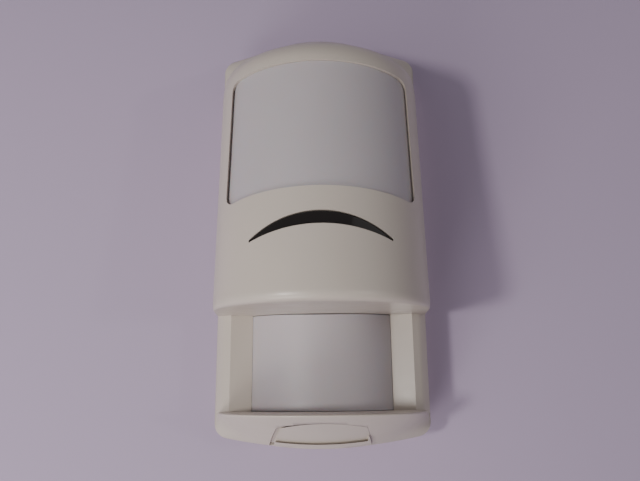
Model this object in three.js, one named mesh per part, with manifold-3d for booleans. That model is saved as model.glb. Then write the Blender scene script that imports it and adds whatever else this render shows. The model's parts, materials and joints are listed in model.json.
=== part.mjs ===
// Wall-mounted motion sensor: a rear base that a wall carries, and a hinged front cover with two lenses.
// Millimetres. +Z is up, the front faces -Y, and the origin is the centre of the flat rear wall face.
// Depths are distances out from the wall, so a point at depth d has y = -d.
import * as THREE from 'three';
import Module from 'manifold-3d';
import { mergeVertices } from 'three/addons/utils/BufferGeometryUtils.js';

const wasm = await Module();
wasm.setup();

// ---------------------------------------------------------------- driving dimensions
const HALF_HEIGHT = 69;
const BASE_HALF_WIDTH = 34.6;
const BASE_DEPTH = 10;
const PLATE = 2.2;
const WALL_FACE_HALF_WIDTH = BASE_HALF_WIDTH - BASE_DEPTH;
const CORNER_RADIUS = 4;
const TOP_BOW = 3;
const BOTTOM_BOW = 3;

const GAP = 0.3;
const WALL = 2.2;
const RIM_DEPTH = BASE_DEPTH + GAP;
const COVER_HALF_WIDTH = BASE_HALF_WIDTH - GAP;
const BULGE_RADIUS = 32.2;
const CHIN_DEPTH = 64;
const CHIN_Z = -31;
const BROW_DEPTH = 55.6;
const BROW_Z = 46;
const TOP_DEPTH = 19.6;
const CHIN_RISE = 0.055;
const CHIN_RISE_HEIGHT = 12;

const CHEEK = [[COVER_HALF_WIDTH, RIM_DEPTH], [33.9, 14], [31.6, 16.8], [28.9, 18.6], [22.5, 16.3], [0, 16.3]];
const SILL_Z = -58.4;
const LIP_DEPTH = 46.5;
const TOE_DEPTH = 24;

const UPPER_WINDOW = { halfWidth: 27.4, bottom: -0.75, top: 40.4, radius: 3, rise: 1.3 };
const UPPER_LENS = { bulge: 31.4, sunk: 0.7, flange: 0.8, overlapX: 0.9, overlapZ: 1.8 };
const UPPER_FRAME = {
  halfWidth: 27.2, bottom: -1.4, top: 42.4, thickness: 1.4, side: 3.7, sill: 4.8, header: 4.6,
};
const LOWER_LENS = { radius: 26, axisDepth: 2.5, thickness: 1.1, halfAngle: 61, tuck: 6 };
const LOWER_FRAME = { thickness: 1.3, halfWidth: 17.5, bottom: -55.5, top: -33, radius: 2.5, setIn: 5 };
const CRESCENT = {
  halfWidth: 19.4, upperTip: -13.2, lowerTip: -13.9, upperApex: -6.5, lowerApex: -10.3, sunk: 0.4,
};
const LIGHT_GUIDE = {
  inlet: 3, neck: 4, spread: 13, near: 25, neckDepth: 44, far: 53, bottom: -9.8, height: 2.4,
};
const LATCH = { left: -15.8, right: 15.2, taper: 4.2, top: -61.6, arch: 1.2, travel: 1.2, thickness: 2 };
const FINGER_RIDGE = { proud: 0.7, setIn: 0.8, top: -67.6, bow: 0.8, endWidth: 1.2, endTop: -65.4 };
const TONGUE = {
  left: -1.5, right: 4, hookLeft: -4, tip: 3.2, hookDepth: 5.4, near: 5.2, far: 27, bottom: -65.6, top: -63.6,
};
const KEEPER = {
  left: -6.5, right: 7, near: 12.5, far: 16.5, bottom: -65.9, top: -61.6, slot: [-4, 4.5], slotTop: -63.3,
};
const CATCH = { left: -12, right: -4.4, near: 5.8, far: 8.4, bottom: -67.6, top: -63.2 };

const BOARD = { halfWidth: 26, bottom: -60, top: 58, rear: 12, thickness: 1.6 };
const BOARD_FRONT = BOARD.rear + BOARD.thickness;
const SEAT = BOARD_FRONT + GAP;
const WALL_SCREWS = [59, -46];
const CABLE_ENTRY = { halfWidth: 8, halfHeight: 4.7, z: 46.5 };
const POSTS = [[-21, 36], [21, 36], [-21, -54], [21, -54]];
const TERMINALS = { count: 8, pitch: 5, bottom: 46, height: 9, depth: 10 };
const HINGE = { depth: RIM_DEPTH, z: HALF_HEIGHT, hookX: 10 };
const HOOK = { inner: 4.5, outer: 6.2, from: -140, to: -50, halfWidth: 3.5, near: 13, far: 16.5, bottom: 63.6 };
const HINGE_RIB = { halfWidth: 5, near: 7.5, far: 9.5, bottom: 65.9, top: 67.4 };
const TAMPER = { x: 20.2, z: -23.5, half: 3, bore: 1.75, bodyTop: SEAT + 4, plunger: 1.45, plungerTop: 19.7 };
const TAMPER_RIB = { halfWidth: 1.3, near: 20, far: 44, top: -21.5 };
const DIP = { left: -23.4, bottom: -23.6, count: 4, pitch: 2.54, width: 11.4, height: 6.6, depth: 3 };
const TRIMMER = { x: -17.5, z: -6, half: 4, height: 3.6, rotorRadius: 2.7 };
const PYRO = { upperZ: 20.5, lowerZ: -45, flange: 4.6, can: 4.1, height: 4.1, eyeX: 1.9, eyeZ: 1.3 };
const STAND = { footHalf: 9, towerHalf: 6.5, foot: 2, height: 8.6, bore: 3.4 };
const RELAY = { left: 12, right: 22.5, bottom: -13, top: 2.5, height: 8 };
const CHIP = { halfWidth: 5, bottom: -24.5, top: -14.5, height: 1.5 };
const SUPPLY_CAPACITOR = { x: 20, z: 16, radius: 4, height: 9 };
const FILTER_CAPACITOR = { x: -20, z: 12, radius: 3.1, height: 6.5 };
const LED = { z: -8.6, pitch: 5.5, flange: 1.9, radius: 1.5, height: 5.6 };

// ---------------------------------------------------------------- finishes
const FINISH = {
  ivory: { color: 0xd9d1c4, roughness: 0.48, metalness: 0 },
  lens: { color: 0xd3cfc8, roughness: 0.62, metalness: 0 },
  smoked: { color: 0x14100e, roughness: 0.12, metalness: 0 },
  clear: { color: 0xdfe6e4, roughness: 0.1, metalness: 0 },
  innerPlastic: { color: 0xe6e3da, roughness: 0.6, metalness: 0 },
  black: { color: 0x1b1c1d, roughness: 0.55, metalness: 0 },
  board: { color: 0x1f5a37, roughness: 0.5, metalness: 0 },
  steel: { color: 0xb8b8b4, roughness: 0.32, metalness: 1 },
  green: { color: 0x2f8a5a, roughness: 0.5, metalness: 0 },
  blue: { color: 0x2458a8, roughness: 0.45, metalness: 0 },
  white: { color: 0xf0efe9, roughness: 0.5, metalness: 0 },
  rubber: { color: 0x3a3a3c, roughness: 0.85, metalness: 0 },
  redLed: { color: 0xa6201c, roughness: 0.2, metalness: 0 },
  greenLed: { color: 0x2c8a3a, roughness: 0.2, metalness: 0 },
  amberLed: { color: 0xc98a1e, roughness: 0.2, metalness: 0 },
};

// ---------------------------------------------------------------- solids
function solid(geometry) {
  geometry.deleteAttribute('normal');
  geometry.deleteAttribute('uv');
  const merged = mergeVertices(geometry, 1e-4);
  const corners = Array.from(merged.index.array);
  const triangles = [];
  for (let i = 0; i < corners.length; i += 3) {
    const [a, b, c] = corners.slice(i, i + 3);
    if (a !== b && b !== c && c !== a) triangles.push(a, b, c);
  }
  return new wasm.Manifold(new wasm.Mesh({
    numProp: 3,
    vertProperties: merged.attributes.position.array,
    triVerts: new Uint32Array(triangles),
  }));
}

function joined(...solids) {
  return solids.reduce((whole, next) => whole.add(next));
}

function cutBy(body, ...tools) {
  return tools.reduce((left, tool) => left.subtract(tool), body);
}

// A front-view outline (x, z) carried from one depth to another.
function slab(shape, nearWall, farFromWall, curveSegments = 4) {
  const geometry = new THREE.ExtrudeGeometry(shape, {
    depth: farFromWall - nearWall, bevelEnabled: false, curveSegments,
  });
  const axes = new THREE.Matrix4().makeBasis(
    new THREE.Vector3(1, 0, 0), new THREE.Vector3(0, 0, 1), new THREE.Vector3(0, -1, 0),
  );
  geometry.applyMatrix4(axes);
  geometry.translate(0, -nearWall, 0);
  return solid(geometry);
}

// A plan outline (x, depth) carried from one height to another.
function column(points, bottom, top) {
  const shape = new THREE.Shape(points.map(([x, depth]) => new THREE.Vector2(x, -depth)));
  const geometry = new THREE.ExtrudeGeometry(shape, { depth: top - bottom, bevelEnabled: false });
  geometry.translate(0, 0, bottom);
  return solid(geometry);
}

// A side outline (depth, z) carried from one x to another.
function rib(shape, left, right, curveSegments = 6) {
  const geometry = new THREE.ExtrudeGeometry(shape, {
    depth: right - left, bevelEnabled: false, curveSegments,
  });
  const axes = new THREE.Matrix4().makeBasis(
    new THREE.Vector3(0, -1, 0), new THREE.Vector3(0, 0, 1), new THREE.Vector3(-1, 0, 0),
  );
  geometry.applyMatrix4(axes);
  geometry.translate(right, 0, 0);
  return solid(geometry);
}

function block(x0, x1, depth0, depth1, z0, z1) {
  const geometry = new THREE.BoxGeometry(x1 - x0, depth1 - depth0, z1 - z0);
  geometry.translate((x0 + x1) / 2, -(depth0 + depth1) / 2, (z0 + z1) / 2);
  return solid(geometry);
}

// A round piece whose axis runs straight out from the wall.
function peg(x, z, radius, nearWall, farFromWall, sides = 20, farRadius = radius) {
  const length = farFromWall - nearWall;
  const geometry = new THREE.CylinderGeometry(radius, farRadius, length, sides);
  geometry.translate(x, -(nearWall + farFromWall) / 2, z);
  return solid(geometry);
}

// A round piece with a profile of [radius, depth] pairs, turned about an axis straight out from the wall.
function turned(x, z, profile, sides = 24) {
  const points = profile.map(([radius, depth]) => new THREE.Vector2(radius, -depth));
  points.reverse();
  const geometry = new THREE.LatheGeometry(points, sides);
  geometry.translate(x, 0, z);
  return solid(geometry);
}

function upright(depth, radius, bottom, top, sides) {
  const geometry = new THREE.CylinderGeometry(radius, radius, top - bottom, sides);
  geometry.rotateX(Math.PI / 2);
  geometry.translate(0, -depth, (bottom + top) / 2);
  return solid(geometry);
}

function roundedRectangle(x0, x1, z0, z1, radius, rise = 0) {
  const shape = new THREE.Shape();
  shape.moveTo(x0 + radius, z0);
  if (rise) shape.quadraticCurveTo((x0 + x1) / 2, z0 + 2 * rise, x1 - radius, z0);
  else shape.lineTo(x1 - radius, z0);
  shape.absarc(x1 - radius, z0 + radius, radius, -Math.PI / 2, 0, false);
  shape.lineTo(x1, z1 - radius);
  shape.absarc(x1 - radius, z1 - radius, radius, 0, Math.PI / 2, false);
  shape.lineTo(x0 + radius, z1);
  shape.absarc(x0 + radius, z1 - radius, radius, Math.PI / 2, Math.PI, false);
  shape.lineTo(x0, z0 + radius);
  shape.absarc(x0 + radius, z0 + radius, radius, Math.PI, Math.PI * 1.5, false);
  return shape;
}

// ---------------------------------------------------------------- the bulging body of the cover
function ringBetween(rings) {
  const size = rings[0].length;
  const positions = rings.flat().flatMap((p) => [p.x, p.y, p.z]);
  const faces = [];
  for (let level = 0; level + 1 < rings.length; level += 1) {
    for (let j = 0; j < size; j += 1) {
      const a = level * size + j;
      const b = level * size + (j + 1) % size;
      faces.push(a, b, b + size, a, b + size, a + size);
    }
  }
  const capOf = (ring) => THREE.ShapeUtils.triangulateShape(ring.map((p) => new THREE.Vector2(p.x, p.y)), []);
  const lastStart = (rings.length - 1) * size;
  capOf(rings[0]).forEach(([a, b, c]) => faces.push(a, c, b));
  capOf(rings.at(-1)).forEach(([a, b, c]) => faces.push(lastStart + a, lastStart + b, lastStart + c));
  const geometry = new THREE.BufferGeometry();
  geometry.setAttribute('position', new THREE.Float32BufferAttribute(positions, 3));
  geometry.setIndex(faces);
  return solid(geometry);
}

const REAR_STEPS = 6;
const FLANK_STEPS = 4;

// One plan section: straight flanks from the rim that run tangent into a round front.
function sectionPoints(frontDepth, halfWidth, rear, inset, steps, bulge) {
  const radius = bulge - inset;
  const centre = frontDepth - radius;
  const reach = Math.hypot(halfWidth, rear - centre);
  const start = Math.atan2(rear - centre, halfWidth) + Math.acos(radius / reach);
  const arc = Array.from({ length: steps + 1 }, (_, i) => {
    const angle = Math.PI - start - (i / steps) * (Math.PI - 2 * start);
    return [radius * Math.cos(angle), centre + radius * Math.sin(angle)];
  });
  const flank = Array.from({ length: FLANK_STEPS }, (_, i) => {
    const share = i / FLANK_STEPS;
    return [-halfWidth + (arc[0][0] + halfWidth) * share, rear + (arc[0][1] - rear) * share];
  });
  const otherFlank = flank.map(([x, depth]) => [-x, depth]).reverse();
  const back = Array.from({ length: REAR_STEPS - 1 }, (_, i) => (
    [halfWidth * (1 - 2 * (i + 1) / REAR_STEPS), rear]
  ));
  return [...flank, ...arc, ...otherFlank, ...back];
}

// Moves an open side outline of [depth, z, fillet] corners inwards, to its left.
function insetOutline(corners, inset) {
  const edges = corners.slice(1).map(([depth, z], i) => {
    const [depth0, z0] = corners[i];
    const length = Math.hypot(depth - depth0, z - z0);
    const along = [(depth - depth0) / length, (z - z0) / length];
    return { along, from: [depth0 - along[1] * inset, z0 + along[0] * inset] };
  });
  return corners.map(([depth, z, fillet], i) => {
    if (i === 0) return [...edges[0].from, 0];
    const before = edges[i - 1];
    if (i === corners.length - 1) return [depth - before.along[1] * inset, z + before.along[0] * inset, 0];
    const after = edges[i];
    const cross = before.along[0] * after.along[1] - before.along[1] * after.along[0];
    const shift = [after.from[0] - before.from[0], after.from[1] - before.from[1]];
    const t = (shift[0] * after.along[1] - shift[1] * after.along[0]) / cross;
    const point = [before.from[0] + before.along[0] * t, before.from[1] + before.along[1] * t];
    return [...point, Math.max(fillet - inset, 0.6)];
  });
}

// Adds points so that no step between two of them changes depth by more than `most`.
function subdivided(points, most) {
  return points.flatMap((point, i) => {
    if (i === 0) return [point];
    const before = points[i - 1];
    const pieces = Math.max(1, Math.ceil(Math.abs(point.x - before.x) / most));
    return Array.from({ length: pieces }, (_, k) => before.clone().lerp(point, (k + 1) / pieces));
  });
}

// Points along an open side outline, with its corners rounded.
function filletedOutline(corners, stepsPerFillet) {
  const points = [];
  corners.forEach(([depth, z, fillet], i) => {
    const corner = new THREE.Vector2(depth, z);
    if (i === 0 || i === corners.length - 1) {
      points.push(corner);
      return;
    }
    const towards = (k) => new THREE.Vector2(...corners[k]).sub(corner).setLength(fillet).add(corner);
    const curve = new THREE.QuadraticBezierCurve(towards(i - 1), corner, towards(i + 1));
    points.push(...curve.getPoints(stepsPerFillet));
  });
  return points;
}

function bulgedSolid(corners, halfWidthAt, inset, rear, bowAt, steps = 16, bulge = BULGE_RADIUS) {
  const profile = subdivided(filletedOutline(insetOutline(corners, inset), 3), 6);
  const rings = profile.map(({ x: depth, y: z }) => (
    sectionPoints(depth, halfWidthAt(z) - inset, rear, inset, steps, bulge)
      .map(([x, d]) => new THREE.Vector3(x, -d, z + bowAt(x, z, d)))
  ));
  return ringBetween(rings);
}

const HEAD_OUTLINE = [
  [CHIN_DEPTH - 8, CHIN_Z, 0],
  [CHIN_DEPTH, CHIN_Z, 3.2],
  [BROW_DEPTH, BROW_Z, 6],
  [TOP_DEPTH, HALF_HEIGHT, 3],
  [TOP_DEPTH - 4, HALF_HEIGHT, 0],
];

// The cover narrows over its top and bottom corners.
function coverHalfWidth(z) {
  const past = THREE.MathUtils.clamp(Math.abs(z) - (HALF_HEIGHT - CORNER_RADIUS), 0, CORNER_RADIUS);
  return COVER_HALF_WIDTH - CORNER_RADIUS + Math.sqrt(CORNER_RADIUS ** 2 - past ** 2);
}

// The top edge falls towards its corners, and the chin's underside rises towards the wall.
function headBow(x, z, depth) {
  const topShare = THREE.MathUtils.clamp((z - BROW_Z) / (HALF_HEIGHT - BROW_Z), 0, 1);
  const chinShare = THREE.MathUtils.clamp((CHIN_Z + CHIN_RISE_HEIGHT - z) / CHIN_RISE_HEIGHT, 0, 1);
  return CHIN_RISE * (CHIN_DEPTH - depth) * chinShare - TOP_BOW * (x / BASE_HALF_WIDTH) ** 2 * topShare;
}

function head(inset, rear, bulge = BULGE_RADIUS) {
  return bulgedSolid(HEAD_OUTLINE, coverHalfWidth, inset, rear, headBow, 16, bulge);
}

const LIP_OUTLINE = [
  [TOE_DEPTH - 4, -HALF_HEIGHT, 0],
  [TOE_DEPTH, -HALF_HEIGHT, 1.2],
  [LIP_DEPTH, SILL_Z - 0.6, 2],
  [LIP_DEPTH - 5, SILL_Z, 0],
];

function bottomBow(x, z) {
  const share = THREE.MathUtils.clamp((SILL_Z - z) / (SILL_Z + HALF_HEIGHT), 0, 1);
  return BOTTOM_BOW * (x / BASE_HALF_WIDTH) ** 2 * share;
}

function lip(inset, rear) {
  return bulgedSolid(LIP_OUTLINE, coverHalfWidth, inset, rear, bottomBow, 14);
}

// The cheeks stand on both sides of the lower lens, set back from the chin and the lip.
function cheekOutline(inset, rear) {
  const corners = insetOutline(CHEEK.map((corner) => [...corner, 0]), inset).slice(1, -1);
  const right = [[COVER_HALF_WIDTH - inset, rear], ...corners.map(([x, depth]) => [x, depth])];
  const left = right.map(([x, depth]) => [-x, depth]).reverse();
  return [...right, ...left];
}

function crescentOutline(grow) {
  const { halfWidth, upperTip, lowerTip, upperApex, lowerApex } = CRESCENT;
  const tip = halfWidth + grow;
  const arcThrough = (apex, tipZ) => {
    const sagitta = apex - tipZ;
    const radius = (tip ** 2 + sagitta ** 2) / (2 * sagitta);
    return { centreZ: apex - radius, radius, halfAngle: Math.asin(tip / radius) };
  };
  const upper = arcThrough(upperApex + grow, upperTip + grow / 2);
  const lower = arcThrough(lowerApex - grow, lowerTip - grow / 2);
  const shape = new THREE.Shape();
  const up = Math.PI / 2;
  shape.absarc(0, upper.centreZ, upper.radius, up - upper.halfAngle, up + upper.halfAngle, false);
  shape.absarc(0, lower.centreZ, lower.radius, up + lower.halfAngle, up - lower.halfAngle, true);
  return shape;
}

function latchOutline(leftGap, rightGap, topGap) {
  const left = LATCH.left - leftGap;
  const right = LATCH.right + rightGap;
  const top = LATCH.top + topGap;
  const shape = new THREE.Shape();
  const foot = -HALF_HEIGHT - 2;
  const shoulder = top - LATCH.arch;
  const waist = (foot + shoulder) / 2;
  shape.moveTo(left, foot);
  shape.lineTo(right, foot);
  shape.quadraticCurveTo(right - LATCH.taper * 0.2, waist, right - LATCH.taper * 0.7, shoulder);
  shape.quadraticCurveTo((left + right) / 2, top + LATCH.arch, left + LATCH.taper, shoulder);
  shape.quadraticCurveTo(left + LATCH.taper * 0.3, waist, left, foot);
  return shape;
}

// ---------------------------------------------------------------- front cover and what rides on it
function hingeHook(x) {
  const { inner, outer, halfWidth, near, far, bottom } = HOOK;
  const [from, to] = [HOOK.from, HOOK.to].map(THREE.MathUtils.degToRad);
  const arc = new THREE.Shape();
  arc.absarc(HINGE.depth, HINGE.z, outer, from, to, false);
  arc.absarc(HINGE.depth, HINGE.z, inner, to, from, true);
  const shank = block(x - halfWidth, x + halfWidth, near, far, bottom, HALF_HEIGHT - 1);
  return rib(arc, x - halfWidth, x + halfWidth).add(shank);
}

function frontCover() {
  const { halfWidth, bottom, top, radius, rise } = UPPER_WINDOW;
  const behind = RIM_DEPTH - 2;
  const headShell = head(0, RIM_DEPTH).subtract(head(WALL, behind));
  const lipShell = lip(0, RIM_DEPTH).subtract(lip(WALL, behind));
  const cheeks = column(cheekOutline(0, RIM_DEPTH), SILL_Z - 1, CHIN_Z + 4.5);
  const boardSpace = column(cheekOutline(WALL, behind), SILL_Z - 4, CHIN_Z + 8);
  const lensSpace = upright(LOWER_LENS.axisDepth, LOWER_LENS.radius + GAP, SILL_Z, CHIN_Z + 8, 72)
    .subtract(head(0, behind));
  const upperWindow = slab(roundedRectangle(-halfWidth, halfWidth, bottom, top, radius, rise), 25, 70);
  const indicatorSlot = slab(crescentOutline(0), 40, 70, 12);
  const latchPocket = slab(latchOutline(LATCH.travel + GAP, GAP, GAP), TOE_DEPTH - 6, 60);
  const { halfWidth: ribHalf, near, far, top: ribTop } = TAMPER_RIB;
  const tamperRib = block(TAMPER.x - ribHalf, TAMPER.x + ribHalf, near, far, CHIN_Z + WALL, ribTop);
  const hooks = [-HINGE.hookX, HINGE.hookX].map(hingeHook);
  const shell = cutBy(
    joined(headShell, lipShell, cheeks), boardSpace, lensSpace, upperWindow, indicatorSlot, latchPocket,
  );
  return joined(shell, tamperRib, ...hooks);
}

function upperLens() {
  const { halfWidth, bottom, top, radius, rise } = UPPER_WINDOW;
  const { bulge, sunk, flange, overlapX, overlapZ } = UPPER_LENS;
  const opening = roundedRectangle(
    -halfWidth + GAP, halfWidth - GAP, bottom + GAP, top - GAP, radius - GAP, rise,
  );
  const border = roundedRectangle(
    -halfWidth - overlapX, halfWidth + overlapX, bottom - overlapZ, top + overlapZ, radius, rise,
  );
  const flangeFront = WALL + GAP;
  const inside = head(flangeFront + flange, RIM_DEPTH);
  const raised = head(sunk, RIM_DEPTH, bulge).subtract(inside).intersect(slab(opening, 35, 70));
  const seated = head(flangeFront, RIM_DEPTH).subtract(inside).intersect(slab(border, 33, 70));
  return raised.add(seated);
}

function upperLensFrame() {
  const { halfWidth, bottom, top, thickness, side, sill, header } = UPPER_FRAME;
  const { radius } = UPPER_WINDOW;
  const front = WALL + 2 * GAP + UPPER_LENS.flange;
  const view = roundedRectangle(-halfWidth + side, halfWidth - side, bottom + sill, top - header, radius);
  const border = roundedRectangle(-halfWidth, halfWidth, bottom, top, radius);
  const ring = slab(border, 33, 70).subtract(slab(view, 20, 75));
  return head(front, RIM_DEPTH).subtract(head(front + thickness, RIM_DEPTH)).intersect(ring);
}

function lensArc(outer, inner, halfAngle, bottom, top) {
  const limit = THREE.MathUtils.degToRad(halfAngle);
  const shape = new THREE.Shape();
  const centre = -LOWER_LENS.axisDepth;
  shape.absarc(0, centre, outer, -Math.PI / 2 - limit, -Math.PI / 2 + limit, false);
  shape.absarc(0, centre, inner, -Math.PI / 2 + limit, -Math.PI / 2 - limit, true);
  const geometry = new THREE.ExtrudeGeometry(shape, {
    depth: top - bottom, bevelEnabled: false, curveSegments: 24,
  });
  geometry.translate(0, 0, bottom);
  return solid(geometry);
}

function lowerLens() {
  const { radius, thickness, halfAngle, tuck } = LOWER_LENS;
  return lensArc(radius, radius - thickness, halfAngle, SILL_Z + GAP, CHIN_Z + tuck).subtract(head(-GAP, 5));
}

function lowerLensFrame() {
  const { thickness, halfWidth, bottom, top, radius, setIn } = LOWER_FRAME;
  const front = LOWER_LENS.radius - LOWER_LENS.thickness - GAP;
  const halfAngle = LOWER_LENS.halfAngle - setIn;
  const arc = lensArc(front, front - thickness, halfAngle, SILL_Z + GAP, CHIN_Z + LOWER_LENS.tuck);
  const view = slab(roundedRectangle(-halfWidth, halfWidth, bottom, top, radius), 5, 40);
  return cutBy(arc, head(-GAP, 5), view);
}

function indicatorWindow() {
  const skin = head(CRESCENT.sunk, RIM_DEPTH).subtract(head(WALL, RIM_DEPTH));
  return skin.intersect(slab(crescentOutline(-GAP), 45, 70, 12));
}

function lightGuide() {
  const { inlet, neck, spread, near, neckDepth, far, bottom, height } = LIGHT_GUIDE;
  const right = [[inlet, near], [neck, neckDepth], [spread, far]];
  const fan = [...right, ...right.map(([x, depth]) => [-x, depth]).reverse()];
  return column(fan, bottom, bottom + height).intersect(head(WALL + GAP, RIM_DEPTH));
}

// The bowed ridge under the finger, turned up at its right end.
function ridgeOutline() {
  const { setIn, top, bow, endWidth, endTop } = FINGER_RIDGE;
  const left = LATCH.left + setIn;
  const right = LATCH.right - setIn;
  const middle = (left + right) / 2;
  const shape = new THREE.Shape();
  shape.moveTo(left, -HALF_HEIGHT + bow);
  shape.quadraticCurveTo(middle, -HALF_HEIGHT - bow, right, -HALF_HEIGHT + bow);
  shape.lineTo(right, endTop);
  shape.lineTo(right - endWidth, endTop);
  shape.lineTo(right - endWidth, top + bow);
  shape.quadraticCurveTo(middle, top - bow, left, top + bow);
  return shape;
}

function lockingLatch() {
  const { proud } = FINGER_RIDGE;
  const skin = lip(0, RIM_DEPTH).subtract(lip(LATCH.thickness, RIM_DEPTH));
  const outline = slab(latchOutline(0, 0, 0), TOE_DEPTH - 4, 60);
  const plate = skin.intersect(outline);
  const fingerRidge = lip(-proud, RIM_DEPTH)
    .intersect(slab(ridgeOutline(), TOE_DEPTH - 1, 40))
    .intersect(outline)
    .subtract(lip(LATCH.thickness / 2, RIM_DEPTH));
  const tongue = block(TONGUE.left, TONGUE.right, TONGUE.near, TONGUE.far, TONGUE.bottom, TONGUE.top);
  const hook = block(TONGUE.hookLeft, TONGUE.right, TONGUE.tip, TONGUE.hookDepth, TONGUE.bottom, TONGUE.top);
  return joined(plate, fingerRidge, tongue, hook);
}

// A bridge on the cover's bottom wall that the latch's tongue slides through.
function latchKeeper() {
  const { left, right, near, far, bottom, top, slot, slotTop } = KEEPER;
  const tongueSlot = block(...slot, near - 2, far + 2, bottom - 1, slotTop);
  return block(left, right, near, far, bottom, top).subtract(tongueSlot);
}

// ---------------------------------------------------------------- rear base
function baseOutline(inset) {
  const side = BASE_HALF_WIDTH - inset;
  const top = HALF_HEIGHT - inset;
  const bottom = -HALF_HEIGHT + inset;
  const radius = CORNER_RADIUS - inset / 2;
  const cornerZ = bottom + BOTTOM_BOW;
  const shoulderZ = top - TOP_BOW;
  const shape = new THREE.Shape();
  shape.moveTo(-side + radius, cornerZ);
  shape.quadraticCurveTo(0, bottom - BOTTOM_BOW, side - radius, cornerZ);
  shape.quadraticCurveTo(side, cornerZ + 0.6, side, cornerZ + radius);
  shape.lineTo(side, shoulderZ - radius);
  shape.quadraticCurveTo(side, shoulderZ - 0.6, side - radius, shoulderZ);
  shape.quadraticCurveTo(0, top + TOP_BOW, -side + radius, shoulderZ);
  shape.quadraticCurveTo(-side, shoulderZ - 0.6, -side, shoulderZ - radius);
  shape.lineTo(-side, cornerZ + radius);
  shape.quadraticCurveTo(-side, cornerZ + 0.6, -side + radius, cornerZ);
  return shape;
}

function traySection(halfAtPlate, plateDepth, rimDepth) {
  const half = halfAtPlate + rimDepth - plateDepth;
  return [[-half, rimDepth], [-halfAtPlate, plateDepth], [halfAtPlate, plateDepth], [half, rimDepth]];
}

function rearBase() {
  const outside = column(traySection(WALL_FACE_HALF_WIDTH, 0, BASE_DEPTH), -HALF_HEIGHT - 2, HALF_HEIGHT)
    .intersect(slab(baseOutline(0), 0, BASE_DEPTH));
  const inside = column(traySection(WALL_FACE_HALF_WIDTH - 1, PLATE, BASE_DEPTH + 2), -HALF_HEIGHT, HALF_HEIGHT)
    .intersect(slab(baseOutline(PLATE), PLATE, BASE_DEPTH + 2));
  const posts = POSTS.map(([x, z]) => peg(x, z, 3.2, PLATE - 0.5, BOARD.rear - GAP));
  const bores = POSTS.map(([x, z]) => peg(x, z, 1.7, 4, BOARD.rear + 1, 16));
  const wallScrewHoles = WALL_SCREWS.map((z) => peg(0, z, 2.3, -1, PLATE + 1, 20));
  const cableEntry = slab(entryOutline(0), -1, PLATE + 1);
  const { halfWidth, near, far, bottom, top } = HINGE_RIB;
  const hingeRibs = [-HINGE.hookX, HINGE.hookX]
    .map((x) => block(x - halfWidth, x + halfWidth, near, far, bottom, top));
  const catchBlock = block(CATCH.left, CATCH.right, CATCH.near, CATCH.far, CATCH.bottom, CATCH.top);
  return cutBy(
    joined(outside.subtract(inside), ...posts, ...hingeRibs, catchBlock),
    ...bores, ...wallScrewHoles, cableEntry,
  );
}

function entryOutline(inset) {
  const { halfWidth, halfHeight, z } = CABLE_ENTRY;
  const radius = halfHeight - inset - 0.1;
  const [half, rise] = [halfWidth - inset, halfHeight - inset];
  return roundedRectangle(-half, half, z - rise, z + rise, radius);
}

function cableGrommet() {
  const sleeve = slab(entryOutline(GAP), 0.4, PLATE + 1.4);
  const flange = slab(entryOutline(-2), PLATE + GAP, PLATE + 1.6);
  const bore = slab(entryOutline(2), -1, 8);
  return sleeve.add(flange).subtract(bore);
}

// ---------------------------------------------------------------- circuit board and its parts
function mainBoard() {
  const { halfWidth, bottom, top, rear } = BOARD;
  const sheet = slab(roundedRectangle(-halfWidth, halfWidth, bottom, top, 2), rear, BOARD_FRONT);
  const holes = POSTS.map(([x, z]) => peg(x, z, 1.7, rear - 1, BOARD_FRONT + 1, 16));
  return cutBy(sheet, ...holes);
}

function boardScrew([x, z]) {
  const screwHead = turned(x, z, [[0, SEAT], [2.9, SEAT], [2.9, SEAT + 1], [2, SEAT + 2], [0, SEAT + 2]], 20);
  const shank = peg(x, z, 1.35, 6, SEAT + 0.5, 14);
  const slot = block(x - 3, x + 3, SEAT + 1.2, SEAT + 3, z - 0.35, z + 0.35);
  return screwHead.add(shank).subtract(slot);
}

function pyroSensor(z, seat) {
  const { flange, can, height, eyeX, eyeZ } = PYRO;
  const top = seat + height;
  const body = turned(0, z, [
    [0, seat], [flange, seat], [flange, seat + 0.5], [can, seat + 0.5],
    [can, top - 0.4], [can - 0.3, top], [0, top],
  ]);
  return body.subtract(block(-eyeX, eyeX, top - 0.3, top + 1, z - eyeZ, z + eyeZ));
}

function sensorStand(z) {
  const { footHalf, towerHalf, foot, height, bore } = STAND;
  const plinth = slab(roundedRectangle(-footHalf, footHalf, z - footHalf, z + footHalf, 2), SEAT, SEAT + foot);
  const tower = slab(
    roundedRectangle(-towerHalf, towerHalf, z - towerHalf, z + towerHalf, 2), SEAT + foot / 2, SEAT + height,
  );
  const wiring = peg(0, z, bore, SEAT - 1, SEAT + height + 1, 20);
  return plinth.add(tower).subtract(wiring);
}

function terminalX(index) {
  return (index - (TERMINALS.count - 1) / 2) * TERMINALS.pitch;
}

function terminalBlock() {
  const { count, pitch, bottom, height, depth } = TERMINALS;
  const half = count * pitch / 2;
  const outline = new THREE.Shape([[SEAT, bottom], [SEAT + depth - 3, bottom], [SEAT + depth, bottom + 3],
    [SEAT + depth, bottom + height - 1.5], [SEAT + depth - 1.5, bottom + height], [SEAT, bottom + height]]
    .map(([d, z]) => new THREE.Vector2(d, z)));
  const body = rib(outline, -half, half);
  const cuts = Array.from({ length: count }, (_, i) => terminalX(i)).flatMap((x) => [
    peg(x, bottom + 4.9, 1.9, SEAT + 4, SEAT + depth + 1, 14),
    block(x - 1.8, x + 1.8, SEAT + 0.8, SEAT + 3.6, bottom + 2, bottom + height + 1),
  ]);
  return cutBy(body, ...cuts);
}

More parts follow.
